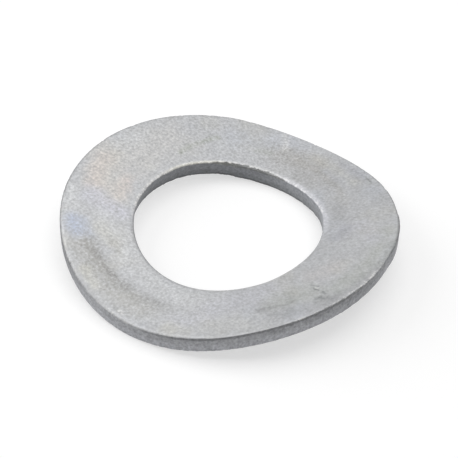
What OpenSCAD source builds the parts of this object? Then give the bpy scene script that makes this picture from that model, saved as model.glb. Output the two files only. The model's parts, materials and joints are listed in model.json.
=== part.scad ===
// Wave spring washer: a punched steel ring, pressed into one plane wave.
// It lies on its trough, with the trough along Y and the two raised ends at +X and -X.
// The origin is on the bore axis, at the plane that the trough rests on.

/* [Ring] */
// Outside diameter of the blank
outer_d = 30; // [26:0.1:40]
// Bore diameter, clearance for a 16 mm bolt
bore_d = 17.2; // [12:0.1:20]
// Thickness of the sheet
sheet_t = 1.5; // [1:0.1:2.5]

/* [Wave] */
// Depth of the wave, from its trough to its crest
wave_depth = 2.88; // [0.5:0.02:5]
// Pitch of the wave, from crest to crest
wave_pitch = 39; // [30:1:80]

/* [Edges] */
// Width of a rolled edge: the bore's on the top face and the rim's on the under face
roll_w = 0.4; // [0.2:0.05:1]
// Depth of a rolled edge where it meets the wall
roll_drop = 0.08; // [0.02:0.02:0.24]
// Width of a burr edge, worn down: the rim's on the top face and the bore's on the under face
burr_w = 0.15; // [0.1:0.05:0.3]
// Depth of a burr edge where it meets the wall
burr_drop = 0.03; // [0.01:0.01:0.1]

/* [Hidden] */
zinc_grey = [0.78, 0.79, 0.8];

outer_r = outer_d / 2;
bore_r = bore_d / 2;

// How far the pressed sheet reaches into the bore before that is cut true
bore_margin = 0.1;
angle_step = 3;
edge_steps = 3;
face_steps = 4;
bore_fn = 180;

// Height of the sheet's middle above the trough, and its slope, along X
function wave(x) = wave_depth / 2 * (1 - cos(360 * x / wave_pitch));
function wave_slope(x) = PI * wave_depth / wave_pitch * sin(360 * x / wave_pitch);

// Share of an edge's depth at a gap from its wall, carried on straight past the wall
function edge_share(gap, width) =
    gap > width ? 0 :
    gap > 0 ? pow(1 - gap / width, 2) :
    1 - 2 * gap / width;
function rolled(gap) = roll_drop * edge_share(gap, roll_w);
function burred(gap) = burr_drop * edge_share(gap, burr_w);

// The two faces of the flat blank, measured from the sheet's middle
function top_face(r) = sheet_t / 2 - rolled(r - bore_r) - burred(outer_r - r);
function under_face(r) = burred(r - bore_r) + rolled(outer_r - r) - sheet_t / 2;

// A point of the blank once it is pressed: the rim stays square to the sheet and the bore upright
function pressed(r, a, level) =
    let (
        x = r * cos(a),
        slope = wave_slope(x),
        stretch = sqrt(1 + slope * slope),
        lean = max(0, (r - bore_r) / (outer_r - bore_r))
    )
    [
        x - lean * level * slope / stretch,
        r * sin(a),
        sheet_t / 2 + wave(x) + level * (lean / stretch + (1 - lean) * stretch)
    ];

// Radii from inside the bore to the rim, close together along the two edges
function radii(bore_edge, rim_edge) = concat(
    [bore_r - bore_margin],
    [for (i = [1 : edge_steps]) bore_r + bore_edge * i / edge_steps],
    [for (i = [1 : face_steps - 1])
        bore_r + bore_edge + (outer_r - rim_edge - bore_r - bore_edge) * i / face_steps],
    [for (i = [edge_steps : -1 : 0]) outer_r - rim_edge * i / edge_steps]
);
function backwards(list) = [for (i = [len(list) - 1 : -1 : 0]) list[i]];

// The pressed sheet, as a closed ring with its bore a little small
module pressed_sheet() {
    ring_count = 360 / angle_step;
    top_radii = radii(roll_w, burr_w);
    under_radii = backwards(radii(burr_w, roll_w));
    loop_len = len(top_radii) + len(under_radii);
    points = [
        for (i = [0 : ring_count - 1])
            let (a = i * angle_step)
            each concat(
                [for (r = top_radii) pressed(r, a, top_face(r))],
                [for (r = under_radii) pressed(r, a, under_face(r))]
            )
    ];
    faces = [
        for (i = [0 : ring_count - 1], j = [0 : loop_len - 1])
            let (
                this_ring = i * loop_len,
                next_ring = (i + 1) % ring_count * loop_len,
                k = (j + 1) % loop_len
            )
            each [
                [this_ring + j, next_ring + j, next_ring + k],
                [this_ring + j, next_ring + k, this_ring + k]
            ]
    ];
    polyhedron(points, faces, convexity = 4);
}

// The pressed sheet, with its bore cut true
module washer() {
    tall = 4 * (sheet_t + wave_depth);
    color(zinc_grey)
    difference() {
        pressed_sheet();
        cylinder(r = bore_r, h = tall, center = true, $fn = bore_fn);
    }
}

washer();
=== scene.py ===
"""Looks of a zinc-plated wave spring washer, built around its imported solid.

The ring is swept, rolled at its edges and pressed into a wave by one node tree, in millimetres,
and then made a plain mesh in metres. Its finish is matt zinc plate on punched steel.
"""
import json
import logging
import math
from dataclasses import dataclass, fields
from enum import Enum
from typing import Any

import bpy
from mathutils import Matrix, Vector


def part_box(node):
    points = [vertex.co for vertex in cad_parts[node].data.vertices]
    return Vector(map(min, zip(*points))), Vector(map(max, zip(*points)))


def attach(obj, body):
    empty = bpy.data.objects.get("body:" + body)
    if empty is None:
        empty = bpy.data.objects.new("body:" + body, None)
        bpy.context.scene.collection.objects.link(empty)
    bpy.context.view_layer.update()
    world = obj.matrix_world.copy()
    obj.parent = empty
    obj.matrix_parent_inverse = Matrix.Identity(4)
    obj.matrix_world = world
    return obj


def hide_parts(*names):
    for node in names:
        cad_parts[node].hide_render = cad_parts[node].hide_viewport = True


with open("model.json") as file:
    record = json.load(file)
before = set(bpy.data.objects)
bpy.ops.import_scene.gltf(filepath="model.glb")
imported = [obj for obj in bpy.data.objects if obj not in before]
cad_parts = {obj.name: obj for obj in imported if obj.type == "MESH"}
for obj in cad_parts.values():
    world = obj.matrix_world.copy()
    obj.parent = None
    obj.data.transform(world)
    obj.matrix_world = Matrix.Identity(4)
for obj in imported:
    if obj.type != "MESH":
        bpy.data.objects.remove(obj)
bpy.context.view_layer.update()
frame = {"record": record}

log = logging.getLogger("washer")

# Metres in a millimetre
MM = 0.001
# Side of the square picture, in pixels
PICTURE_SIDE = 458
# Attribute that keeps where each point lay on the flat blank, in millimetres
BLANK = "blank"
# Level of the clean plating, as a screen shows it
CLEAN_LEVEL = 191
# How far a mark's outline wanders, as a share of its half width
MARK_WANDER = 0.6
# Share of an edge band's width over which it is full
BAND_CORE = 0.4
# Level of noise, up or down, at which a chip is largest or smallest
CHIP_NOISE = 0.3

Colour = tuple[float, float, float]


def linear(level: float) -> float:
    """Undo the standard screen curve for one level from 0 to 255."""
    share = level / 255
    return share / 12.92 if share <= 0.04045 else ((share + 0.055) / 1.055) ** 2.4


def screen(red: float, green: float, blue: float) -> Colour:
    """Turn a colour as a screen shows it, from 0 to 255, into a linear one."""
    return linear(red), linear(green), linear(blue)


class BurrSide(Enum):
    """The face of the sheet on which a punched edge has its burr."""

    TOP = 1
    UNDER = -1


class Edge(Enum):
    """An edge of the top face, by the way in which the radius grows from its wall."""

    BORE = 1
    RIM = -1


class Tint(Enum):
    """The tints and shades of the plating, and painted highlights, as a screen shows them."""

    BLUE = (178, 187, 206)
    VIOLET = (199, 199, 208)
    SLATE = (174, 175, 184)
    PEACH = (210, 197, 190)
    WARM = (204, 201, 196)
    STRAW = (204, 202, 190)
    OLIVE = (180, 179, 175)
    BROWN = (168, 165, 160)
    MOSS = (174, 177, 170)
    PALE = (205, 206, 207)
    # Painted highlights, where rolled edges and scratches catch the light
    BRIGHT = (242, 241, 238)
    SOFT_HIGHLIGHT = (226, 226, 232)
    DULL = (162, 162, 164)
    DARK = (148, 150, 150)
    SMEAR = (141, 140, 139)
    BARE = (104, 106, 105)

    @property
    def colour(self) -> Colour:
        """The tint as a linear colour."""
        return screen(*self.value)

    @property
    def darkens(self) -> bool:
        """Whether the tint is darker than the clean plating."""
        return max(self.value) < CLEAN_LEVEL


class Signal:
    """A socket of a node tree that takes part in sums as a number does."""

    def __init__(self, graph: "Graph", socket: bpy.types.NodeSocket) -> None:
        """Wrap one output socket of a graph."""
        self.graph = graph
        self.socket = socket

    def __add__(self, other: "Term") -> "Signal":
        """Sum."""
        return self.graph.math("ADD", self, other)

    def __radd__(self, other: "Term") -> "Signal":
        """Sum, from the right."""
        return self.graph.math("ADD", other, self)

    def __sub__(self, other: "Term") -> "Signal":
        """Difference."""
        return self.graph.math("SUBTRACT", self, other)

    def __rsub__(self, other: "Term") -> "Signal":
        """Difference, from the right."""
        return self.graph.math("SUBTRACT", other, self)

    def __mul__(self, other: "Term") -> "Signal":
        """Product."""
        return self.graph.math("MULTIPLY", self, other)

    def __rmul__(self, other: "Term") -> "Signal":
        """Product, from the right."""
        return self.graph.math("MULTIPLY", other, self)

    def __truediv__(self, other: "Term") -> "Signal":
        """Quotient."""
        return self.graph.math("DIVIDE", self, other)

    def __rtruediv__(self, other: "Term") -> "Signal":
        """Quotient, from the right."""
        return self.graph.math("DIVIDE", other, self)

    def __pow__(self, other: "Term") -> "Signal":
        """Power."""
        return self.graph.math("POWER", self, other)

    def __abs__(self) -> "Signal":
        """Size without its sign."""
        return self.graph.math("ABSOLUTE", self)


Term = Signal | float
Inputs = dict[str, Signal]


def opaque(colour: Any) -> Any:
    """Give a plain colour its alpha, and leave a signal as it is."""
    return colour if isinstance(colour, Signal) else (*colour, 1.0)


class Graph:
    """A node tree that is written as expressions."""

    def __init__(self, tree: bpy.types.NodeTree) -> None:
        """Write into a tree that exists."""
        self.tree = tree

    def node(self, kind: str, settings: dict[str, Any] | None = None,
             sockets: dict[str | int, Any] | None = None) -> bpy.types.Node:
        """Add one node.

        Args:
            kind: Blender's own name of the node's type.
            settings: Its properties, which are set first.
            sockets: Values or signals for its inputs, by name or by place.

        Returns:
            The node.
        """
        made = self.tree.nodes.new(kind)
        for name, value in (settings or {}).items():
            setattr(made, name, value)
        for name, value in (sockets or {}).items():
            by_name = (s for s in made.inputs if s.name == name and s.enabled)
            target = made.inputs[name] if isinstance(name, int) else next(by_name)
            if isinstance(value, Signal):
                self.tree.links.new(value.socket, target)
            else:
                target.default_value = value
        return made

    def out(self, made: bpy.types.Node, name: str | None = None) -> Signal:
        """Take an output of a node, by its name or else the first that is in use."""
        return Signal(self, next(s for s in made.outputs if s.enabled and name in (None, s.name)))

    def math(self, operation: str, *terms: Term) -> Signal:
        """Add one Math node, by Blender's own name of its operation."""
        return self.out(self.node("ShaderNodeMath", {"operation": operation}, dict(enumerate(terms))))

    def least(self, a: Term, b: Term) -> Signal:
        """Take the smaller of two terms."""
        return self.math("MINIMUM", a, b)

    def most(self, a: Term, b: Term) -> Signal:
        """Take the larger of two terms."""
        return self.math("MAXIMUM", a, b)

    def length(self, x: Signal, y: Signal) -> Signal:
        """Find the length of a flat step."""
        return self.math("SQRT", x * x + y * y)

    def step(self, value: Term, low: Term, high: Term) -> Signal:
        """Rise smoothly from 0 at low to 1 at high, or fall where high is below low."""
        made = self.node("ShaderNodeMapRange", {"interpolation_type": "SMOOTHSTEP"},
                         {"Value": value, "From Min": low, "From Max": high})
        return self.out(made)

    def split(self, vector: Signal) -> tuple[Signal, Signal, Signal]:
        """Take a vector apart into its three numbers."""
        made = self.node("ShaderNodeSeparateXYZ", sockets={"Vector": vector})
        return tuple(self.out(made, axis) for axis in "XYZ")

    def vector(self, x: Term, y: Term, z: Term) -> Signal:
        """Put three numbers together into a vector."""
        return self.out(self.node("ShaderNodeCombineXYZ", sockets={"X": x, "Y": y, "Z": z}))

    def vectors(self, operation: str, first: Any, second: Any) -> Signal:
        """Work out one number from two vectors, by Blender's own name of the operation."""
        made = self.node("ShaderNodeVectorMath", {"operation": operation}, {0: first, 1: second})
        return self.out(made, "Value")

    def scaled(self, vector: Any, gain: Signal) -> Signal:
        """Lengthen a vector, or brighten a colour, by a factor that may pass 1."""
        sockets = {"Vector": vector, "Scale": gain}
        return self.out(self.node("ShaderNodeVectorMath", {"operation": "SCALE"}, sockets))

    def blend(self, share: Term, first: Any, second: Any) -> Signal:
        """Mix two colours, plain ones or signals, by the share of the second."""
        made = self.node("ShaderNodeMix", {"data_type": "RGBA", "clamp_factor": True},
                         {"Factor": share, "A": opaque(first), "B": opaque(second)})
        return self.out(made)


@dataclass(frozen=True)
class Lumps:
    """Seeded noise: its lumps to a millimetre, its seed, its finer layers and their strength."""

    per_mm: float
    seed: float
    detail: float = 2.0
    roughness: float = 0.5

    def at(self, place: Signal) -> Signal:
        """Look the noise up at a place in millimetres, as a number from -1 to 1."""
        made = place.graph.node("ShaderNodeTexNoise", {"noise_dimensions": "4D"}, {
            "Vector": place, "W": self.seed, "Scale": self.per_mm,
            "Detail": self.detail, "Roughness": self.roughness})
        return place.graph.out(made) * 2.0 - 1.0


@dataclass(frozen=True)
class Spot:
    """A place on the flat blank, in millimetres, with its angle in radians."""

    graph: Graph
    blank: Signal
    x: Signal
    y: Signal
    level: Signal
    radius: Signal
    turn: Signal

    @classmethod
    def of(cls, blank: Signal) -> "Spot":
        """Take a place apart."""
        graph = blank.graph
        x, y, level = graph.split(blank)
        return cls(graph, blank, x, y, level, graph.length(x, y), graph.math("ARCTAN2", y, x))

    @classmethod
    def on_mesh(cls, graph: Graph) -> "Spot":
        """Read the place from the mesh that a material covers."""
        kept = graph.node("ShaderNodeAttribute", {"attribute_name": BLANK})
        return cls.of(graph.out(kept, "Vector"))


@dataclass(frozen=True)
class Sector:
    """A part of the ring, by the angle of its middle, its half width and its fade, in degrees."""

    middle: float
    half: float
    fade: float

    def share(self, spot: Spot) -> Signal:
        """Show where the sector lies.

        Args:
            spot: The place on the blank that is looked at.

        Returns:
            1 in the sector and 0 away from it.
        """
        turn = math.radians(self.middle)
        facing_it = (spot.x * math.cos(turn) + spot.y * math.sin(turn)) / spot.radius
        low, high = self.edge(self.half + self.fade), self.edge(self.half - self.fade)
        return spot.graph.step(facing_it, low, high)

    @staticmethod
    def edge(away: float) -> float:
        """Find the cosine of an angle from the middle, held between none and half a turn."""
        return math.cos(math.radians(min(max(away, 0.0), 180.0)))


@dataclass(frozen=True)
class RingSizes:
    """Sizes of the washer, in millimetres, as its solid has them."""

    rim_radius: float
    bore_radius: float
    sheet: float = 1.5
    wave_depth: float = 2.88
    wave_pitch: float = 39.0
    roll_width: float = 0.4
    roll_drop: float = 0.08
    burr_width: float = 0.15
    burr_drop: float = 0.03
    corner: float = 0.07

    @classmethod
    def from_frame(cls) -> "RingSizes":
        """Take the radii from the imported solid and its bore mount.

        Returns:
            The sizes.
        """
        low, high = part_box("washer")
        bore = next(m for m in frame["record"]["mounts"] if m["kind"] == "bore")
        return cls(rim_radius=(high.y - low.y) / 2 / MM, bore_radius=bore["dims"]["r_mm"])


@dataclass(frozen=True)
class Ding:
    """A small dent in the top face, in millimetres on the flat blank."""

    x: float
    y: float
    reach: float
    depth: float


@dataclass(frozen=True)
class EdgeWear:
    """A stretch along an edge that is pushed down, in or out, in millimetres."""

    sector: Sector
    width: float
    drop: float


@dataclass(frozen=True)
class Chips:
    """A stretch of a top edge that is broken into small chips, in millimetres.

    The smallest chip has the given share of the reach of the largest.
    """

    sector: Sector
    reach: float
    depth: float
    lumps: Lumps
    smallest: float = 0.0

    def share(self, spot: Spot, gap: Signal) -> Signal:
        """Show where the chips lie.

        Args:
            spot: The place on the blank that is looked at.
            gap: Distance from the wall.

        Returns:
            How deep each chip is, from 0 at its outline to 1 at the wall.
        """
        graph = spot.graph
        lumps = self.lumps.at(graph.vector(spot.x, spot.y, 0.0))
        size = self.smallest + graph.step(lumps, -CHIP_NOISE, CHIP_NOISE) * (1.0 - self.smallest)
        return graph.most(size * self.sector.share(spot) - gap / self.reach, 0.0)


BORE_CHIPS = Chips(Sector(111, 20, 10), 0.36, 0.22, Lumps(2.4, 15.0, 2.0, 0.6), 0.45)
RIM_CHIPS = Chips(Sector(336, 14, 10), 0.24, 0.16, Lumps(2.0, 16.0, 2.0, 0.6))


@dataclass(frozen=True)
class EdgeBand:
    """A band of the top face along an edge, painted lighter or darker, in millimetres.

    The lighter bands are painted highlights where the rolled edges catch the light. The flecked share
    of it is broken up, and the rest is even.
    """

    edge: Edge
    sector: Sector
    width: float
    tint: Tint
    strength: float
    flecked: float

    def share(self, spot: Spot, sizes: RingSizes, flecks: Signal) -> Signal:
        """Show where the band lies.

        Args:
            spot: The place on the blank that is looked at.
            sizes: The washer.
            flecks: Spots that break the band up, from 0 to 1.

        Returns:
            The band's strength on it and 0 away from it.
        """
        wall = sizes.bore_radius if self.edge is Edge.BORE else sizes.rim_radius
        gap = (spot.radius - wall) * float(self.edge.value)
        near = spot.graph.step(gap, self.width, self.width * BAND_CORE)
        whole = near * self.sector.share(spot) * self.strength
        return whole * (flecks * self.flecked + (1.0 - self.flecked))


@dataclass(frozen=True)
class Mark:
    """A soft mark on the top face, along a line on the flat blank.

    Most are tints and scratches of the plating; the near-white ones are painted highlights, and the
    pale ones across the front are painted light. Its two ends are given by angle in degrees and radius
    in millimetres.
    """

    start: tuple[float, float]
    end: tuple[float, float]
    half_width: float
    tint: Tint
    strength: float
    softness: float = 0.9

    def share(self, spot: Spot, wobble: Signal) -> Signal:
        """Show where the mark lies.

        Args:
            spot: The place on the blank that is looked at.
            wobble: Noise that makes the mark's outline uneven.

        Returns:
            1 in the mark and 0 away from it.
        """
        (first_turn, first_radius), (last_turn, last_radius) = self.start, self.end
        turn = math.radians((first_turn + last_turn) / 2)
        middle = (first_radius + last_radius) / 2
        reach = Vector((math.radians((last_turn - first_turn) / 2) * middle,
                        (last_radius - first_radius) / 2, 0.0))
        way = tuple(reach.normalized())

        graph = spot.graph
        along = graph.math("WRAP", spot.turn - turn, math.pi, -math.pi) * middle
        place = graph.vector(along, spot.radius - middle, 0.0)
        run = graph.most(graph.vectors("DOT_PRODUCT", place, way), -reach.length)
        nearest = graph.scaled(way, graph.least(run, reach.length))
        gap = graph.vectors("DISTANCE", place, nearest) + wobble * (self.half_width * MARK_WANDER)
        soft = self.half_width * self.softness
        return graph.step(gap, self.half_width + soft, self.half_width - soft)


@dataclass(frozen=True)
class WallFinish:
    """How a punched wall looks between its rolled edge and its burr edge.

    Each painted shade stretch is the share by which it darkens the wall, and where it lies. The darker
    band by the burr edge is a painted shadow under the rim's top lip, and a darker line along the
    bore's low edge.
    """

    burr_side: BurrSide
    burnished: Colour
    torn: Colour
    torn_share: float
    burr_darkening: float
    burr_darkening_sector: Sector
    painted_shade: tuple[tuple[float, Sector], ...]
    grit: float


# Bands along the top edges: the near-white ones are painted highlights where the rolled edges catch
# the light, and the others are tints and dark lines along the edges
BANDS = (
    EdgeBand(Edge.BORE, Sector(60, 32, 12), 0.62, Tint.SOFT_HIGHLIGHT, 0.75, 0.55),
    EdgeBand(Edge.BORE, Sector(110, 22, 10), 0.56, Tint.BRIGHT, 0.55, 0.7),
    EdgeBand(Edge.BORE, Sector(146, 20, 10), 0.36, Tint.STRAW, 0.85, 0.2),
    EdgeBand(Edge.BORE, Sector(166, 42, 12), 0.42, Tint.BRIGHT, 0.8, 0.75),
    EdgeBand(Edge.BORE, Sector(64, 24, 10), 0.34, Tint.BRIGHT, 0.45, 1.0),
    EdgeBand(Edge.BORE, Sector(314, 32, 14), 0.3, Tint.BRIGHT, 0.3, 0.4),
    EdgeBand(Edge.RIM, Sector(252, 20, 12), 0.3, Tint.BRIGHT, 0.5, 0.9),
    EdgeBand(Edge.RIM, Sector(336, 20, 12), 0.34, Tint.BRIGHT, 0.45, 0.9),
    EdgeBand(Edge.RIM, Sector(357, 11, 7), 0.5, Tint.BRIGHT, 0.3, 1.0),
    EdgeBand(Edge.RIM, Sector(250, 7, 5), 0.4, Tint.DULL, 0.5, 0.5),
    EdgeBand(Edge.RIM, Sector(192, 38, 14), 0.22, Tint.BARE, 0.65, 0.4),
    EdgeBand(Edge.RIM, Sector(112, 40, 12), 0.14, Tint.BARE, 0.2, 0.5),
    EdgeBand(Edge.RIM, Sector(38, 28, 12), 0.17, Tint.BARE, 0.55, 0.3),
    EdgeBand(Edge.RIM, Sector(292, 26, 12), 0.2, Tint.BARE, 0.35, 0.5),
    EdgeBand(Edge.BORE, Sector(246, 26, 14), 0.15, Tint.BARE, 0.5, 0.5),
)
MARKS = (
    Mark((219.5, 13.9), (225.5, 13.6), 0.66, Tint.BLUE, 0.5),
    Mark((220, 12.9), (227, 12.6), 0.45, Tint.BLUE, 0.24),
    Mark((223, 11.4), (231, 10.7), 0.7, Tint.STRAW, 0.3),
    # A painted highlight by the rim at the front left
    Mark((264.6, 14.35), (266.0, 14.4), 0.17, Tint.BRIGHT, 0.3),
    Mark((262.8, 14.3), (263.3, 14.3), 0.2, Tint.DARK, 0.6),
    Mark((184, 13.4), (198, 12.7), 0.8, Tint.PEACH, 0.5),
    Mark((190, 10.5), (200, 10.4), 0.7, Tint.PEACH, 0.4),
    Mark((182, 13.7), (202, 11.0), 1.6, Tint.WARM, 0.45, 0.8),
    Mark((152, 12.0), (178, 11.2), 1.9, Tint.WARM, 0.3),
    Mark((205, 12.4), (212, 10.0), 0.9, Tint.VIOLET, 0.55, 0.8),
    Mark((206, 14.3), (214, 14.0), 0.6, Tint.PALE, 0.5),
    Mark((217, 11.0), (230, 9.8), 1.0, Tint.PALE, 0.4),
    # A darker grey band along the ring across the left front
    Mark((231, 12.8), (277, 11.8), 0.7, Tint.SMEAR, 0.32, 0.95),
    Mark((231.8, 12.9), (240.7, 12.4), 0.4, Tint.SMEAR, 0.45, 0.95),
    Mark((244.9, 12.4), (250.7, 12.3), 0.38, Tint.SMEAR, 0.5, 0.95),
    Mark((255.7, 12.2), (259.1, 12.2), 0.34, Tint.SMEAR, 0.4, 0.95),
    Mark((268.0, 11.7), (275.0, 11.7), 0.3, Tint.SMEAR, 0.26, 0.95),
    Mark((232, 13.5), (272, 13.0), 1.0, Tint.OLIVE, 0.5, 0.95),
    # Painted light: a pale mark that lightens the front of the face
    Mark((276, 12.6), (318, 12.0), 1.6, Tint.PALE, 0.28),
    Mark((243, 14.2), (250, 14.2), 0.5, Tint.STRAW, 0.36),
    Mark((232, 10.7), (237, 10.4), 0.4, Tint.OLIVE, 0.5, 0.95),
    # Painted light: pale marks that lighten the front of the face, nearer the bore
    Mark((240, 9.9), (276, 9.9), 1.0, Tint.PALE, 0.45),
    Mark((282, 10.1), (300, 10.1), 0.9, Tint.PALE, 0.55),
    Mark((286, 13.0), (296, 12.2), 0.9, Tint.VIOLET, 0.25),
    Mark((300, 10.8), (326, 9.7), 1.2, Tint.VIOLET, 0.28),
    Mark((284, 13.9), (290, 14.2), 0.6, Tint.STRAW, 0.2),
    Mark((298, 13.4), (318, 13.7), 1.0, Tint.STRAW, 0.1),
    Mark((316, 12.1), (330, 12.4), 0.2, Tint.DULL, 0.62),
    Mark((317, 12.2), (326, 13.2), 0.5, Tint.DULL, 0.36, 0.95),
    Mark((326, 11.6), (337, 12.1), 1.2, Tint.MOSS, 0.36),
    Mark((322, 13.7), (343, 14.0), 0.6, Tint.DULL, 0.35, 0.95),
    Mark((337.5, 13.3), (341, 13.9), 0.35, Tint.DARK, 0.22),
    Mark((338, 14.4), (362, 14.7), 0.5, Tint.DULL, 0.5, 0.95),
    Mark((364, 14.8), (377, 15.0), 0.4, Tint.DARK, 0.5),
    Mark((346, 13.3), (384, 14.0), 0.75, Tint.MOSS, 0.4),
    Mark((346, 10.8), (356, 11.3), 0.9, Tint.PEACH, 0.12),
    Mark((380, 13.3), (388, 12.0), 0.9, Tint.VIOLET, 0.3),
    Mark((341.3, 11.5), (343.0, 12.1), 0.09, Tint.DARK, 0.5, 0.8),
    Mark((340.7, 12.0), (341.1, 12.5), 0.12, Tint.DARK, 0.6, 0.8),
    # A painted highlight inside the scratch loop
    Mark((341.6, 12.0), (341.9, 12.2), 0.1, Tint.BRIGHT, 0.35, 0.8),
    Mark((341.8, 12.95), (341.5, 13.25), 0.12, Tint.DARK, 0.7, 0.8),
    Mark((340.9, 13.5), (340.8, 13.9), 0.08, Tint.DARK, 0.35, 0.8),
    Mark((337.8, 13.25), (339.0, 13.35), 0.16, Tint.DARK, 0.7),
    Mark((339.0, 13.35), (339.3, 13.75), 0.13, Tint.DARK, 0.7),
    Mark((378, 9.8), (387, 10.5), 0.5, Tint.SLATE, 0.36, 0.95),
    Mark((397, 10.0), (411, 10.4), 0.5, Tint.DULL, 0.4, 0.95),
    Mark((418, 11.3), (452, 12.0), 0.4, Tint.BROWN, 0.3, 0.95),
    Mark((422, 13.1), (445, 13.1), 0.6, Tint.STRAW, 0.25),
    Mark((422, 14.0), (434, 14.1), 0.5, Tint.SLATE, 0.2),
    Mark((436, 10.8), (458, 11.4), 1.7, Tint.BROWN, 0.26, 0.85),
    Mark((86, 12.4), (96, 11.8), 1.3, Tint.BROWN, 0.22, 0.7),
    Mark((106, 13.4), (122, 12.2), 1.1, Tint.BLUE, 0.12),
    Mark((130, 12.0), (152, 10.3), 0.25, Tint.MOSS, 0.55),
    Mark((105, 11.4), (111, 11.3), 0.4, Tint.MOSS, 0.3),
    # A painted highlight along a thin streak at the back
    Mark((99.2, 12.6), (102.6, 14.6), 0.32, Tint.BRIGHT, 0.2, 0.95),
    Mark((164, 13.4), (174, 13.6), 0.8, Tint.PALE, 0.4),
    Mark((57, 14.3), (61.5, 14.4), 0.1, Tint.DARK, 0.7, 0.8),
)


@dataclass(frozen=True)
class ZincPlate:
    """Matt zinc plate on punched steel, tumbled and handled, with painted highlights along its top
    edges and painted shade on its walls.
    """

    face: Colour = screen(191, 192, 194)
    cool: Colour = screen(187, 190, 197)
    straw: Colour = screen(193, 192, 187)
    # Each wall's listed stretches are painted shade; the darker band by the rim's burr edge is a
    # painted shadow under its top lip, and by the bore's it is a darker line along its low edge
    rim: WallFinish = WallFinish(
        BurrSide.TOP, burnished=screen(178, 179, 183), torn=screen(168, 169, 172), torn_share=0.5,
        burr_darkening=0.34, burr_darkening_sector=Sector(314, 32, 14), grit=1.5, painted_shade=(
            (0.06, Sector(335, 50, 25)), (0.05, Sector(368, 16, 12)),
            (0.4, Sector(213, 27, 14)), (0.08, Sector(352, 9, 6))))
    bore: WallFinish = WallFinish(
        BurrSide.UNDER, burnished=screen(158, 160, 164), torn=screen(148, 150, 153), torn_share=0.4,
        burr_darkening=0.3, burr_darkening_sector=Sector(125, 75, 25), grit=1.3, painted_shade=(
            (0.22, Sector(124, 20, 18)), (0.18, Sector(180, 30, 18))))
    bands: tuple[EdgeBand, ...] = BANDS
    marks: tuple[Mark, ...] = MARKS

    # Noise of the plating, from its grain up to its broad clouds
    grit: Lumps = Lumps(4.2, 1.0, 2.0, 0.6)
    patches: Lumps = Lumps(2.2, 7.0, 2.0, 0.6)
    mottle: Lumps = Lumps(0.9, 2.0, 3.0, 0.55)
    clouds: Lumps = Lumps(0.22, 3.0)
    tints: Lumps = Lumps(0.3, 4.0)
    flecks: Lumps = Lumps(4.6, 21.0, 2.0, 0.6)
    drag: Lumps = Lumps(2.6, 5.0, 3.0, 0.6)

    # How strongly it shows on the faces, whose grain is coarser towards one side
    grain_gain: float = 0.47
    coarse_side: float = 165.0
    coarse_gain: float = 0.016
    patch_gain: float = 0.1
    mottle_gain: float = 0.08
    cloud_gain: float = 0.04
    tint_from: float = 0.05
    tint_full: float = 0.5
    tint_share: float = 0.5
    fleck_full: float = 0.2

    # Marks lie on the top face only, and are uneven, the dark ones more so towards -X
    top_full: float = 0.3
    mark_patches: float = 0.8
    light_grit: float = 0.8
    dark_grit: float = 2.6
    dark_side: float = 6.0

    # Where walls and crests start and are full, in corner radii, and the punch's drag
    wall_from: float = 1.2
    wall_full: float = 0.2
    crest_full: float = 0.3
    drag_length: float = 0.25
    drag_wander: float = 0.18
    drag_gain: float = 0.25
    tear_fade: float = 0.2
    # Levels of the wall, from its rolled edge to its burr edge, over which the darker band by the burr
    # edge grows
    burr_darkening_from: float = 0.6
    burr_darkening_full: float = 0.85

    # Bare steel in the chips
    bare_share: float = 0.7
    bore_bare_full: float = 0.2
    rim_bare_full: float = 0.4
    rim_bare_share: float = 0.6

    # Gloss and bump
    metallic: float = 0.65
    roughness: float = 0.58
    grit_roughness: float = 0.08
    mottle_roughness: float = 0.06
    wall_roughness: float = 0.05
    bump_height: float = 0.02
    grit_bump: float = 0.7
    mottle_bump: float = 0.8

    def material(self, sizes: RingSizes) -> bpy.types.Material:
        """Build the plating's material.

        Args:
            sizes: The washer that it covers.

        Returns:
            The material.
        """
        made = bpy.data.materials.new("zinc_plate")
        made.use_nodes = True
        made.node_tree.nodes.clear()
        graph = Graph(made.node_tree)
        spot = Spot.on_mesh(graph)
        grit = self.grit.at(spot.blank)
        mottle = self.mottle.at(spot.blank)

        start, full = self.wall_from * sizes.corner, self.wall_full * sizes.corner
        rim_wall = graph.step(spot.radius, sizes.rim_radius - start, sizes.rim_radius - full)
        bore_wall = graph.step(spot.radius, sizes.bore_radius + start, sizes.bore_radius + full)
        colour = self.face_colour(spot, grit, mottle)
        colour = graph.blend(rim_wall, colour, self.wall_colour(self.rim, sizes, spot, grit))
        colour = graph.blend(bore_wall, colour, self.wall_colour(self.bore, sizes, spot, grit))
        colour = self.edge_colour(sizes, spot, colour)

        wall = graph.most(rim_wall, bore_wall)
        roughness = self.roughness + grit * self.grit_roughness + mottle * self.mottle_roughness
        bump = graph.node("ShaderNodeBump", sockets={
            "Strength": 1.0, "Distance": self.bump_height * MM,
            "Height": grit * self.grit_bump + mottle * self.mottle_bump})
        shader = graph.node("ShaderNodeBsdfPrincipled", sockets={
            "Base Color": colour, "Metallic": self.metallic,
            "Roughness": roughness + wall * self.wall_roughness, "Normal": graph.out(bump)})
        graph.node("ShaderNodeOutputMaterial", sockets={"Surface": graph.out(shader)})
        return made

    def face_colour(self, spot: Spot, grit: Signal, mottle: Signal) -> Signal:
        """Colour the two faces, with the marks on the top one.

        Args:
            spot: The place on the blank.
            grit: The plating's grain.
            mottle: The plating's mottle.

        Returns:
            The faces' colour.
        """
        graph = spot.graph
        patches = self.patches.at(spot.blank)
        clouds = self.clouds.at(spot.blank)
        tints = self.tints.at(spot.blank)
        turn = math.radians(self.coarse_side)
        towards = spot.x * math.cos(turn) + spot.y * math.sin(turn)
        grain = grit * (self.grain_gain + towards * (self.grain_gain * self.coarse_gain))

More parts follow.
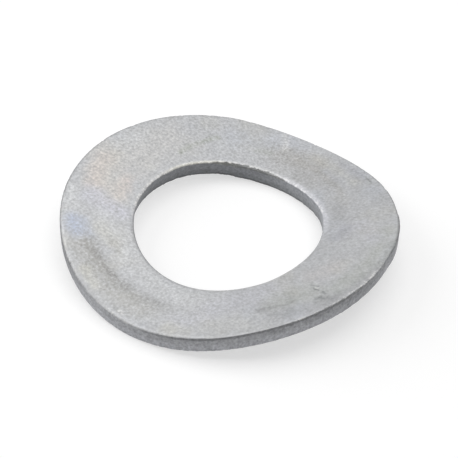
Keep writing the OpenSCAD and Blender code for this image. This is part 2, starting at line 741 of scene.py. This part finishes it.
        cool = graph.step(tints, self.tint_from, self.tint_full) * self.tint_share
        straw = graph.step(tints, -self.tint_from, -self.tint_full) * self.tint_share
        colour = graph.blend(straw, graph.blend(cool, self.face, self.cool), self.straw)

        top = graph.step(spot.level, 0.0, self.top_full)
        uneven = 1.0 + patches * self.mark_patches
        harsh = 1.0 + graph.step(spot.x, self.dark_side, -self.dark_side) * self.dark_grit
        light = top * (uneven + grit * self.light_grit)
        dark = top * (uneven - grain * harsh)
        wobble = mottle + patches
        # The marks: tints and scratches of the plating, with painted highlights and painted light
        # among them
        for mark in self.marks:
            share = mark.share(spot, wobble) * (dark if mark.tint.darkens else light)
            colour = graph.blend(share * mark.strength, colour, mark.tint.colour)

        gain = 1.0 + grain + patches * self.patch_gain + mottle * self.mottle_gain
        return graph.scaled(colour, gain + clouds * self.cloud_gain)

    def wall_colour(self, finish: WallFinish, sizes: RingSizes, spot: Spot, grit: Signal) -> Signal:
        """Colour a punched wall, with painted shade in its listed stretches and a darker band along
        its burr edge, which on the rim is a painted shadow.

        Args:
            finish: How that wall looks.
            sizes: The washer.
            spot: The place on the blank.
            grit: The plating's grain.

        Returns:
            The wall's colour.
        """
        graph = spot.graph
        drag = self.drag.at(graph.vector(spot.x, spot.y, spot.level * self.drag_length))
        height = spot.level * (finish.burr_side.value * 2.0 / sizes.sheet) + drag * self.drag_wander
        tear = 1.0 - 2.0 * finish.torn_share
        torn = graph.step(height, tear - self.tear_fade, tear + self.tear_fade)
        colour = graph.blend(torn, finish.burnished, finish.torn)
        # Darker band by the burr edge: a painted shadow under the rim's top lip, and a darker line
        # along the bore's low edge
        burr_darkening = graph.step(height, self.burr_darkening_from, self.burr_darkening_full) * finish.burr_darkening
        burr_darkening = burr_darkening * finish.burr_darkening_sector.share(spot)
        gain = 1.0 + drag * self.drag_gain + grit * (finish.grit * self.grain_gain)
        gain = gain * (1.0 - burr_darkening)
        # Painted shade in each listed stretch of the wall
        for loss, sector in finish.painted_shade:
            gain = gain * (1.0 - sector.share(spot) * loss)
        return graph.scaled(colour, gain)

    def edge_colour(self, sizes: RingSizes, spot: Spot, colour: Signal) -> Signal:
        """Paint highlights and dark lines along the edges of the top face, and bare the steel in its
        chips.

        Args:
            sizes: The washer.
            spot: The place on the blank.
            colour: The colour without them.

        Returns:
            The colour with them.
        """
        graph, surface = spot.graph, sizes.sheet / 2
        crest = graph.step(spot.level, surface - sizes.corner,
                           surface - self.crest_full * sizes.corner)
        flecks = graph.step(self.flecks.at(spot.blank), 0.0, self.fleck_full)
        # Painted highlights along the edges, with tints and dark lines among them
        for band in self.bands:
            share = band.share(spot, sizes, flecks)
            colour = graph.blend(share * crest, colour, band.tint.colour)
        bore_chips = BORE_CHIPS.share(spot, spot.radius - sizes.bore_radius)
        rim_chips = RIM_CHIPS.share(spot, sizes.rim_radius - spot.radius)
        bare = graph.most(graph.step(bore_chips, 0.0, self.bore_bare_full),
                          graph.step(rim_chips, 0.0, self.rim_bare_full) * self.rim_bare_share)
        return graph.blend(bare * crest * self.bare_share, colour, Tint.BARE.colour)


@dataclass(frozen=True)
class FlatPoint:
    """A point of the flat ring as the shape's tree sees it, in millimetres."""

    size: Inputs
    spot: Spot
    from_bore: Signal
    from_rim: Signal
    on_top: Signal

    @classmethod
    def at(cls, size: Inputs, place: Signal) -> "FlatPoint":
        """Look at a point.

        Args:
            size: The tree's named inputs.
            place: The point.

        Returns:
            The point with its distances from the walls.
        """
        spot, graph = Spot.of(place), place.graph
        from_bore = graph.most(spot.radius - size["bore_radius"], 0.0)
        from_rim = graph.most(size["rim_radius"] - spot.radius, 0.0)
        return cls(size, spot, from_bore, from_rim, graph.math("GREATER_THAN", spot.level, 0.0))

    def fall(self, gap: Signal, width: Term) -> Signal:
        """Find how much of an edge's depth is left at a gap from its wall."""
        return self.spot.graph.most(1.0 - gap / width, 0.0) ** 2.0

    def stretch(self, wear: EdgeWear, gap: Signal) -> Signal:
        """Find how much of a worn stretch is left at a gap from its wall."""
        return wear.sector.share(self.spot) * self.fall(gap, wear.width)

    def between(self, low: float, high: float) -> Signal:
        """Rise from 0 to 1 between two levels of the sheet."""
        return self.spot.graph.step(self.spot.level, low, high)


@dataclass
class Washer:
    """The pressed ring: its shape, its finish and its place in the part."""

    sizes: RingSizes
    finish: ZincPlate
    turns: int = 720
    section_points: int = 136
    corner_points: int = 6
    crowding: float = 0.6

    # Dents and worn stretches
    dings: tuple[Ding, ...] = (
        Ding(11.49, -3.8, 0.36, 0.03),
        Ding(12.34, -4.09, 0.28, 0.025),
        Ding(-1.3, -14.34, 0.32, 0.05),
        Ding(7.12, 12.57, 0.4, 0.05),
        Ding(-7.6, 9.62, 0.3, 0.04),
    )
    rim_wear: tuple[EdgeWear, ...] = (
        EdgeWear(Sector(250, 48, 24), 0.4, 0.12),
        EdgeWear(Sector(234, 18, 14), 0.5, 0.16),
        EdgeWear(Sector(166, 30, 16), 0.4, 0.12),
    )
    lip: EdgeWear = EdgeWear(Sector(23, 6, 9), 0.3, 0.16)
    taper: EdgeWear = EdgeWear(Sector(329, 16, 14), 0.6, 0.14)
    flat: EdgeWear = EdgeWear(Sector(147, 16, 12), 1.5, 0.08)
    bulges: tuple[EdgeWear, ...] = (
        EdgeWear(Sector(143, 14, 12), 1.5, 0.1),
        EdgeWear(Sector(8, 26, 18), 1.5, -0.15),
    )

    # The bore's burr hangs down, within a share of the room under the wave
    tails: tuple[EdgeWear, ...] = (
        EdgeWear(Sector(180, 30, 26), 1.0, 0.26),
        EdgeWear(Sector(112, 24, 14), 0.3, 0.05),
    )
    hang: float = 0.05
    hang_width: float = 0.25
    hang_room: float = 0.7
    hang_mean: float = 0.6
    hang_teeth: float = 1.6

    # The bore's wall leans with the sheet, more so at -X, and the rim's is upright at both ends
    bore_lean: float = 0.68
    bore_skew: float = 0.57
    upright_from: float = 3.0
    upright_by: float = 10.0

    # Small unevenness: ripples, nicks and pits of the rim, and torn low edges
    ripples: Lumps = Lumps(0.35, 11.0)
    chatter: Lumps = Lumps(1.3, 12.0, 3.0, 0.65)
    tears: Lumps = Lumps(2.4, 13.0, 3.0, 0.65)
    pits: Lumps = Lumps(2.8, 14.0, 3.0, 0.6)
    teeth: Lumps = Lumps(2.6, 15.0, 2.0, 0.6)
    ripple_depth: float = 0.012
    nick_from: float = 0.05
    nick_full: float = 0.45
    nick_width: float = 0.35
    nick_depth: float = 0.07
    pit_width: float = 0.1
    pit_depth: float = 0.08
    tear_least: float = -0.2
    tear_width: float = 0.2
    tear_height: float = 0.15

    # Levels of the sheet between which nicks, chips and torn edges grow to full size
    nick_foot: float = 0.2
    edge_level: float = 0.7

    def shape_tree(self) -> tuple[bpy.types.NodeTree, dict[str, str]]:
        """Write the tree that makes the ring.

        Returns:
            The tree, and the identifier of each of its named inputs.
        """
        tree = bpy.data.node_groups.new("pressed_ring", "GeometryNodeTree")
        tree.interface.new_socket("Geometry", in_out="OUTPUT", socket_type="NodeSocketGeometry")
        kinds = {size.name: "NodeSocketFloat" for size in fields(RingSizes)}
        kinds["plating"] = "NodeSocketMaterial"
        idents = {}
        for name, kind in kinds.items():
            socket = tree.interface.new_socket(name, in_out="INPUT", socket_type=kind)
            idents[name] = socket.identifier
        graph = Graph(tree)
        given = graph.node("NodeGroupInput")
        size = {name: graph.out(given, name) for name in idents}

        of_vectors = {"data_type": "FLOAT_VECTOR"}
        place = self.crowded(size, graph.out(graph.node("GeometryNodeInputPosition")))
        keep = graph.node("GeometryNodeStoreNamedAttribute", {**of_vectors, "domain": "POINT"}, {
            "Geometry": self.swept_blank(graph, size), "Name": BLANK, "Value": place})
        kept = graph.out(graph.node("GeometryNodeInputNamedAttribute", of_vectors, {"Name": BLANK}))
        moved = graph.node("GeometryNodeSetPosition", sockets={
            "Geometry": graph.out(keep),
            "Position": self.pressed(size, self.edged(size, kept))})
        scaled = graph.node("GeometryNodeTransform", sockets={
            "Geometry": graph.out(moved), "Scale": (MM, MM, MM)})
        smooth = graph.node("GeometryNodeSetShadeSmooth", sockets={"Geometry": graph.out(scaled)})
        real = graph.node("GeometryNodeRealizeInstances", sockets={"Geometry": graph.out(smooth)})
        plated = graph.node("GeometryNodeSetMaterial", sockets={
            "Geometry": graph.out(real), "Material": size["plating"]})
        graph.node("NodeGroupOutput", sockets={"Geometry": graph.out(plated)})
        return tree, idents

    def swept_blank(self, graph: Graph, size: Inputs) -> Signal:
        """Sweep the flat section, with its corners rounded, around the bore.

        Args:
            graph: The tree's graph.
            size: The tree's named inputs.

        Returns:
            The flat ring.
        """
        section = graph.node("GeometryNodeCurvePrimitiveQuadrilateral", {"mode": "RECTANGLE"}, {
            "Width": size["rim_radius"] - size["bore_radius"], "Height": size["sheet"]})
        rounded = graph.node("GeometryNodeFilletCurve", {"mode": "POLY"}, {
            "Curve": graph.out(section), "Count": self.corner_points, "Radius": size["corner"]})
        even = graph.node("GeometryNodeResampleCurve", {"mode": "COUNT"}, {
            "Curve": graph.out(rounded), "Count": self.section_points})
        path = graph.node("GeometryNodeCurvePrimitiveCircle", {"mode": "RADIUS"}, {
            "Resolution": self.turns, "Radius": (size["rim_radius"] + size["bore_radius"]) / 2.0})
        swept = graph.node("GeometryNodeCurveToMesh", sockets={
            "Curve": graph.out(path), "Profile Curve": graph.out(even)})
        return graph.out(swept)

    def crowded(self, size: Inputs, place: Signal) -> Signal:
        """Crowd the points of the flat ring towards its two edges.

        Args:
            size: The tree's named inputs.
            place: A point of the flat ring.

        Returns:
            Where that point goes.
        """
        graph = place.graph
        x, y, z = graph.split(place)
        radius = graph.length(x, y)
        middle = (size["rim_radius"] + size["bore_radius"]) / 2.0
        half = (size["rim_radius"] - size["bore_radius"]) / 2.0
        even = (radius - middle) / half
        close = graph.math("SINE", even * (math.pi / 2.0))
        share = even * (1.0 - self.crowding) + close * self.crowding
        grow = (middle + share * half) / radius
        return graph.vector(x * grow, y * grow, z)

    def edged(self, size: Inputs, place: Signal) -> Signal:
        """Roll, wear and mark the flat ring.

        Args:
            size: The tree's named inputs.
            place: A point of the flat ring.

        Returns:
            Where that point goes.
        """
        graph, point = place.graph, FlatPoint.at(size, place)
        spot = point.spot
        nick = graph.step(self.chatter.at(place), self.nick_from, self.nick_full) * self.nick_depth
        nick = nick * point.fall(point.from_rim, self.nick_width)
        nick = nick * point.between(self.nick_foot, self.edge_level)
        level = self.rolled(point) - self.dents(point) - nick - self.burr(point)
        inward = 1.0 - (nick + self.inset(point)) / spot.radius
        return graph.vector(spot.x * inward, spot.y * inward, level)

    def rolled(self, point: FlatPoint) -> Signal:
        """Find the level of a point on the two faces with their rolled, burred and worn edges.

        Args:
            point: The point.

        Returns:
            Its level.
        """
        size, half = point.size, point.size["sheet"] / 2.0
        top = half - size["roll_drop"] * point.fall(point.from_bore, size["roll_width"])
        top = top - size["burr_drop"] * point.fall(point.from_rim, size["burr_width"])
        under = half - size["burr_drop"] * point.fall(point.from_bore, size["burr_width"])
        under = under - size["roll_drop"] * point.fall(point.from_rim, size["roll_width"])
        for wear in self.rim_wear:
            top = top - point.stretch(wear, point.from_rim) * wear.drop
        return point.spot.level * (under + (top - under) * point.on_top) / half

    def dents(self, point: FlatPoint) -> Signal:
        """Find how deep the ripples, dents and chips of the top are at a point.

        Args:
            point: The point.

        Returns:
            Their depth.
        """
        graph, spot = point.spot.graph, point.spot
        depth = (0.5 + self.ripples.at(spot.blank) * 0.5) * self.ripple_depth
        for ding in self.dings:
            away = graph.length(spot.x - ding.x, spot.y - ding.y)
            depth = depth + graph.step(away, ding.reach, 0.0) * ding.depth
        bore = BORE_CHIPS.share(spot, point.from_bore) * BORE_CHIPS.depth
        rim = RIM_CHIPS.share(spot, point.from_rim) * RIM_CHIPS.depth
        return depth * point.on_top + (bore + rim) * point.between(self.nick_foot, self.edge_level)

    def burr(self, point: FlatPoint) -> Signal:
        """Find how far the low edges hang down at a point, less what is torn off them.

        Args:
            point: The point.

        Returns:
            How far down they hang.
        """
        graph, spot = point.spot.graph, point.spot
        flat = graph.vector(spot.x, spot.y, 0.0)
        room = self.wave(point.size, spot.x) * self.hang_room
        teeth = self.hang_mean + self.teeth.at(flat) * self.hang_teeth
        hang = graph.least(room, self.hang) * teeth * point.fall(point.from_bore, self.hang_width)
        for tail in self.tails:
            hang = hang + graph.least(room, tail.drop) * point.stretch(tail, point.from_bore)
        at_walls = graph.most(point.fall(point.from_rim, self.tear_width),
                              point.fall(point.from_bore, self.tear_width))
        torn = graph.most(self.tears.at(flat), self.tear_least) * at_walls * self.tear_height
        return (hang - torn) * point.between(0.0, -self.edge_level)

    def inset(self, point: FlatPoint) -> Signal:
        """Find how far the walls stand in towards the axis at a point.

        Args:
            point: The point.

        Returns:
            How far in they stand.
        """
        pits = point.spot.graph.most(self.pits.at(point.spot.blank), 0.0)
        inset = pits * point.fall(point.from_rim, self.pit_width) * self.pit_depth
        taper = point.stretch(self.taper, point.from_rim) * self.taper.drop
        inset = inset + taper * point.between(0.0, self.edge_level)
        inset = inset + point.stretch(self.flat, point.from_rim) * self.flat.drop
        inset = inset - point.stretch(self.lip, point.from_rim) * self.lip.drop
        for bulge in self.bulges:
            inset = inset - point.stretch(bulge, point.from_bore) * bulge.drop
        return inset

    @staticmethod
    def wave(size: Inputs, x: Signal) -> Signal:
        """Find how high the sheet has risen above its trough."""
        turn = x * (2.0 * math.pi) / size["wave_pitch"]
        return size["wave_depth"] / 2.0 * (1.0 - x.graph.math("COSINE", turn))

    def pressed(self, size: Inputs, blank: Signal) -> Signal:
        """Press the flat ring into its wave, with its walls nearly square to the sheet.

        Args:
            size: The tree's named inputs.
            blank: A point of the flat, edged ring.

        Returns:
            Where that point goes.
        """
        graph = blank.graph
        x, y, level = graph.split(blank)
        steepest = size["wave_depth"] * math.pi / size["wave_pitch"]
        slope = steepest * graph.math("SINE", x * (2.0 * math.pi) / size["wave_pitch"])
        stretch = graph.math("SQRT", 1.0 + slope * slope)
        band = size["rim_radius"] - size["bore_radius"]
        out = graph.most((graph.length(x, y) - size["bore_radius"]) / band, 0.0)
        bore_lean = self.bore_lean - x / size["bore_radius"] * self.bore_skew
        rim_lean = graph.step(abs(x), self.upright_by, self.upright_from)
        lean = bore_lean * (1.0 - out) + out * rim_lean
        height = self.wave(size, x) + level * (lean / stretch + (1.0 - lean) * stretch)
        return graph.vector(x - lean * level * slope / stretch, y, size["sheet"] / 2.0 + height)

    def build(self) -> bpy.types.Object:
        """Make the ring a plain mesh, dress it and seat it in the part.

        Returns:
            The ring's object.
        """
        tree, idents = self.shape_tree()
        made = bpy.data.objects.new("plated_washer", bpy.data.meshes.new("plated_washer"))
        bpy.context.scene.collection.objects.link(made)
        modifier = made.modifiers.new("pressed_ring", "NODES")
        modifier.node_group = tree
        for size in fields(RingSizes):
            modifier[idents[size.name]] = getattr(self.sizes, size.name)
        modifier[idents["plating"]] = self.finish.material(self.sizes)
        graph = bpy.context.evaluated_depsgraph_get()
        mesh = bpy.data.meshes.new_from_object(
            made.evaluated_get(graph), preserve_all_data_layers=True, depsgraph=graph)
        made.modifiers.remove(modifier)
        made.data = mesh
        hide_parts("washer")
        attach(made, "root")
        return made


def facing(azimuth: float, elevation: float) -> Vector:
    """Find the direction to a viewer, by degrees around from the front and above level."""
    turn, lift = math.radians(azimuth), math.radians(elevation)
    return Vector((math.sin(turn) * math.cos(lift), -math.cos(turn) * math.cos(lift), math.sin(lift)))


@dataclass(frozen=True)
class SoftBox:
    """A square lamp that looks at the washer, with its sizes in metres."""

    name: str
    azimuth: float
    elevation: float
    away: float
    side: float
    brightness: float

    def build(self) -> bpy.types.Object:
        """Hang the lamp.

        Returns:
            The lamp's object.
        """
        lamp = bpy.data.lights.new(self.name, "AREA")
        lamp.size = self.side
        lamp.energy = self.brightness * math.pi * self.side ** 2
        made = bpy.data.objects.new(self.name, lamp)
        bpy.context.scene.collection.objects.link(made)
        back = facing(self.azimuth, self.elevation)
        aim = back.to_track_quat("Z", "Y").to_matrix().to_4x4()
        made.matrix_world = Matrix.Translation(back * self.away) @ aim
        return made


@dataclass(frozen=True)
class Studio:
    """A pale floor that curves up far away, and soft light from above, with sizes in metres.

    The floor has one shade and glow for the rays that the metal mirrors, and another for the camera.
    """

    floor_flat: float = 0.3
    floor_reach: float = 2.0
    floor_rise: float = 0.36
    floor_drop: float = 0.00002
    floor_steps: int = 24
    floor_turns: int = 96
    floor_shade: float = 0.8
    floor_glow: float = 0.24
    seen_shade: float = 0.48
    seen_glow: float = 0.55
    sky: float = 0.32
    lamps: tuple[SoftBox, ...] = (
        SoftBox("top_box", 185.0, 74.0, 0.5, 0.5, 1.95),
        SoftBox("left_box", -75.0, 28.0, 0.6, 0.55, 2.2),
    )

    def build(self) -> list[bpy.types.Object]:
        """Set the stage.

        Returns:
            The floor and the lamps.
        """
        floor = self.lay_floor()
        self.light_sky()
        return [floor, *(lamp.build() for lamp in self.lamps)]

    def lay_floor(self) -> bpy.types.Object:
        """Lay the floor.

        Returns:
            The floor's object.
        """
        rings = [self.floor_flat + (self.floor_reach - self.floor_flat) * i / self.floor_steps
                 for i in range(self.floor_steps + 1)]
        points = [self.floor_point(reach, 2 * math.pi * i / self.floor_turns)
                  for reach in rings for i in range(self.floor_turns)]
        faces = [tuple(range(self.floor_turns))]
        for ring in range(self.floor_steps):
            here = ring * self.floor_turns
            ahead = here + self.floor_turns
            for i in range(self.floor_turns):
                k = (i + 1) % self.floor_turns
                faces.append((here + i, ahead + i, ahead + k, here + k))
        mesh = bpy.data.meshes.new("floor")
        mesh.from_pydata(points, [], faces)
        mesh.shade_smooth()
        mesh.materials.append(self.floor_material())
        floor = bpy.data.objects.new("floor", mesh)
        bpy.context.scene.collection.objects.link(floor)
        return floor

    def floor_point(self, reach: float, turn: float) -> tuple[float, float, float]:
        """Find a point of the floor.

        Args:
            reach: Distance from the part.
            turn: Angle around it, in radians.

        Returns:
            The point.
        """
        share = (reach - self.floor_flat) / (self.floor_reach - self.floor_flat)
        height = self.floor_rise * share ** 2 - self.floor_drop
        return reach * math.cos(turn), reach * math.sin(turn), height

    def floor_material(self) -> bpy.types.Material:
        """Paint the floor pale, with a glow for the rays that show it, so that it reads as white.

        Returns:
            The floor's material.
        """
        made = bpy.data.materials.new("pale_floor")
        made.use_nodes = True
        made.node_tree.nodes.clear()
        graph = Graph(made.node_tree)
        paint = self.paint(graph, self.floor_shade)
        mirrored = self.glowing(graph, paint, self.floor_glow)
        seen = self.glowing(graph, self.paint(graph, self.seen_shade), self.seen_glow)
        path = graph.node("ShaderNodeLightPath")
        by_metal = graph.most(graph.out(path, "Is Glossy Ray"), graph.out(path, "Is Transmission Ray"))
        shown = graph.node("ShaderNodeMixShader", sockets={0: by_metal, 1: paint, 2: mirrored})
        shown = graph.node("ShaderNodeMixShader", sockets={
            0: graph.out(path, "Is Camera Ray"), 1: graph.out(shown), 2: seen})
        graph.node("ShaderNodeOutputMaterial", sockets={"Surface": graph.out(shown)})
        return made

    @staticmethod
    def paint(graph: Graph, shade: float) -> Signal:
        """Make a matt grey paint."""
        return graph.out(graph.node("ShaderNodeBsdfDiffuse", sockets={"Color": opaque((shade,) * 3)}))

    @staticmethod
    def glowing(graph: Graph, paint: Signal, strength: float) -> Signal:
        """Add a glow to a paint."""
        glow = graph.node("ShaderNodeEmission", sockets={"Strength": strength})
        return graph.out(graph.node("ShaderNodeAddShader", sockets={0: paint, 1: graph.out(glow)}))

    def light_sky(self) -> None:
        """Fill the room with dim, even light."""
        world = bpy.data.worlds.new("studio")
        world.use_nodes = True
        world.node_tree.nodes.clear()
        graph = Graph(world.node_tree)
        light = graph.node("ShaderNodeBackground", sockets={
            "Color": (1.0, 1.0, 1.0, 1.0), "Strength": self.sky})
        graph.node("ShaderNodeOutputWorld", sockets={"Surface": graph.out(light)})
        bpy.context.scene.world = world


@dataclass(frozen=True)
class Viewpoint:
    """The camera, as it stood for the photograph, in degrees, metres and pixels."""

    azimuth: float = 33.12
    elevation: float = 41.25
    roll: float = 2.23
    away: float = 0.1251
    focal_px: float = 1387.3
    aim_height: float = 0.00075
    centre_px: tuple[float, float] = (228.31, 233.08)
    sensor_mm: float = 36.0
    nearest: float = 0.001

    def build(self) -> bpy.types.Object:
        """Set the camera up and make it the scene's own.

        Returns:
            The camera's object.
        """
        data = bpy.data.cameras.new("viewpoint")
        data.sensor_width = self.sensor_mm
        data.lens = self.sensor_mm * self.focal_px / PICTURE_SIDE
        data.clip_start = self.nearest
        data.shift_x = (PICTURE_SIDE / 2 - self.centre_px[0]) / PICTURE_SIDE
        data.shift_y = (self.centre_px[1] - PICTURE_SIDE / 2) / PICTURE_SIDE
        made = bpy.data.objects.new("viewpoint", data)
        bpy.context.scene.collection.objects.link(made)
        back = facing(self.azimuth, self.elevation)
        turn = math.radians(self.azimuth)
        right = Vector((math.cos(turn), math.sin(turn), 0.0))
        up = back.cross(right)
        level = Matrix((right, up, back)).transposed().to_4x4()
        roll = Matrix.Rotation(math.radians(self.roll), 4, "Z")
        place = Vector((0.0, 0.0, self.aim_height)) + back * self.away
        made.matrix_world = Matrix.Translation(place) @ level @ roll
        bpy.context.scene.camera = made
        return made


def main() -> None:
    """Build the washer, its stage and its camera."""
    logging.basicConfig(level=logging.INFO, format="%(name)s: %(message)s")
    bpy.context.scene.view_settings.view_transform = "Standard"
    washer = Washer(RingSizes.from_frame(), ZincPlate()).build()
    log.info("%s has %d faces", washer.name, len(washer.data.polygons))
    for piece in Studio().build():
        log.info("%s is set", piece.name)
    log.info("%s looks on", Viewpoint().build().name)


if __name__ == "__main__":
    main()
